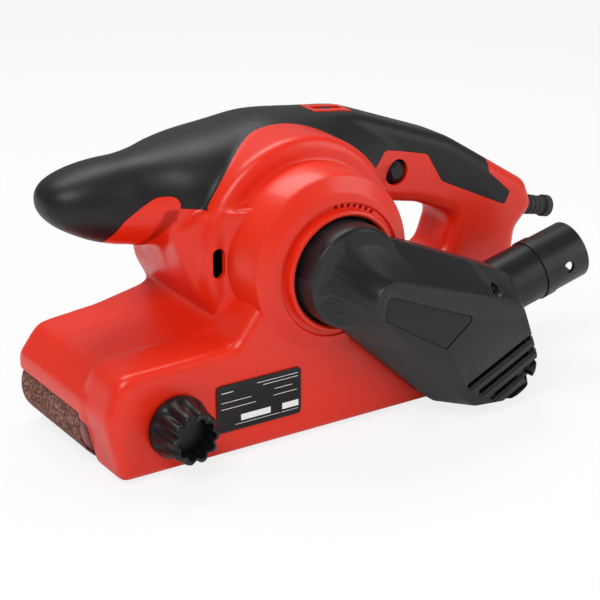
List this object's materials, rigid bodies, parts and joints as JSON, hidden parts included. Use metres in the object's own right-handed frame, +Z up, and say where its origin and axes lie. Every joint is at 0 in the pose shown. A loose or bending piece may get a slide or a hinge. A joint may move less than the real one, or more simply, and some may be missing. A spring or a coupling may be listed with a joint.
{
  "type": "handheld belt sander",
  "caption": "Handheld belt sander with a front knob, a D-handle with a trigger, a side-mounted toothed drive under a black cover, a tracking knob and a dust outlet tube.",
  "frame": {"origin": "centre of the sanding belt's flat working face", "axes": "+X to the rear of the machine, +Y to the operator's right, +Z up from the work; the sander rests on its belt"},
  "size_m": [0.3826, 0.17, 0.1773],
  "materials": {
    "housing_red": "glossy moulded orange-red plastic",
    "grip_black": "satin black soft grip with a fine texture",
    "cover_black": "satin black moulded plastic with a fine grain",
    "gloss_black": "glossy black label plate",
    "abrasive": "brown-red cloth-backed abrasive grit",
    "aluminium": "cast aluminium",
    "steel": "ground and turned steel",
    "dark_steel": "laminated electrical steel",
    "screw_steel": "zinc-plated screws",
    "spring_steel": "spring wire",
    "copper": "enamelled copper winding",
    "brass": "brass",
    "carbon": "carbon graphite",
    "rubber": "black rubber",
    "pad": "graphite-faced cork pad",
    "inner_plastic": "dark engineering plastic",
    "pulley": "natural glass-filled nylon",
    "board": "potted circuit board"
  },
  "bodies": {
    "root": {"sanding_belt": "abrasive", "left_housing": "housing_red", "right_housing": "housing_red", "left_grip": "grip_black", "right_grip": "grip_black", "belt_cover": "cover_black", "cover_nameplate": "gloss_black", "rating_plate": "gloss_black", "cover_screws": "screw_steel", "dust_tube": "cover_black", "chassis": "aluminium", "chassis_screws": "screw_steel", "platen_plate": "steel", "platen_pad": "pad", "housing_screws": "screw_steel", "roller_bearings": "steel", "drive_belt": "rubber", "motor_bearings": "steel", "stator": "dark_steel", "field_coils": "copper", "brush_frame": "inner_plastic", "brush_holders": "brass", "carbon_brushes": "carbon", "tension_spring": "spring_steel", "lever_pin": "steel", "trigger_pin": "steel", "trigger_spring": "spring_steel", "switch_body": "inner_plastic", "lock_spring": "spring_steel", "wheel_axle": "steel", "wheel_bezel": "housing_red", "speed_module": "board", "capacitor": "inner_plastic", "cord_sleeve": "rubber", "cord_clamp": "inner_plastic", "clamp_screws": "screw_steel"},
    "rotor": {"motor_pulley": "steel", "armature_shaft": "steel", "armature_core": "dark_steel", "armature_windings": "copper", "commutator": "copper", "fan": "inner_plastic"},
    "driven_roller": {"drive_shaft": "steel", "drive_roller": "aluminium", "drive_roller_sleeve": "rubber", "roller_pulley": "pulley"},
    "carriage": {"tension_carriage": "steel", "yoke_pivot_pin": "steel"},
    "yoke": {"idler_yoke": "dark_steel", "idler_axle": "steel"},
    "front_roller": {"idler_roller": "aluminium", "idler_bearings": "steel"},
    "lever": {"tension_lever": "inner_plastic"},
    "tracking": {"tracking_knob": "cover_black", "tracking_screw": "screw_steel"},
    "trigger": {"trigger": "cover_black"},
    "lock": {"lock_button": "cover_black"},
    "wheel": {"speed_wheel": "cover_black"}
  },
  "joints": [
    {"name": "rotor_spin", "type": "hinge", "parent": "root", "child": "rotor", "pos_m": [0.027, 0, 0.107], "axis": [0, 1, 0], "continuous": true},
    {"name": "driven_spin", "type": "hinge", "parent": "root", "child": "driven_roller", "pos_m": [0.09712, 0, 0.0238], "axis": [0, 1, 0], "continuous": true},
    {"name": "tension_slide", "type": "slide", "parent": "root", "child": "carriage", "axis": [1, 0, 0], "range_m": [0, 0.006], "deforming": ["tension_spring"]},
    {"name": "tracking_tilt", "type": "hinge", "parent": "carriage", "child": "yoke", "pos_m": [-0.05812, 0, 0.0238], "axis": [0, 0, 1], "range_deg": [-0.6, 0.6]},
    {"name": "front_spin", "type": "hinge", "parent": "yoke", "child": "front_roller", "pos_m": [-0.09712, 0, 0.0238], "axis": [0, 1, 0], "continuous": true},
    {"name": "lever_turn", "type": "hinge", "parent": "root", "child": "lever", "pos_m": [-0.032, 0.027, 0.0235], "axis": [0, 0, 1], "range_deg": [0, 100]},
    {"name": "tracking_turn", "type": "hinge", "parent": "root", "child": "tracking", "pos_m": [-0.078, -0.088, 0.0305], "axis": [0, 1, 0], "range_deg": [-180, 180]},
    {"name": "trigger_pull", "type": "hinge", "parent": "root", "child": "trigger", "pos_m": [0.1, 0.008, 0.119], "axis": [0, 1, 0], "range_deg": [-9, 0], "stiffness_Nm_per_rad": 0.8, "springref_deg": 5.73, "deforming": ["trigger_spring"]},
    {"name": "lock_press", "type": "slide", "parent": "root", "child": "lock", "axis": [0, 1, 0], "range_m": [0, 0.0035], "stiffness_N_per_m": 400, "springref_m": -0.002, "deforming": ["lock_spring"]},
    {"name": "speed_turn", "type": "hinge", "parent": "root", "child": "wheel", "pos_m": [0.078, 0.008, 0.1632], "axis": [0, 1, 0], "range_deg": [-135, 135]}
  ],
  "couplings": [
    {"joint": "driven_spin", "follows": "rotor_spin", "ratio": 0.35714},
    {"joint": "front_spin", "follows": "rotor_spin", "ratio": 0.35714},
    {"joint": "lever_turn", "follows": "tension_slide", "rad_per_m": 290.89},
    {"joint": "tracking_tilt", "follows": "tracking_turn", "ratio": 0.003333}
  ]
}
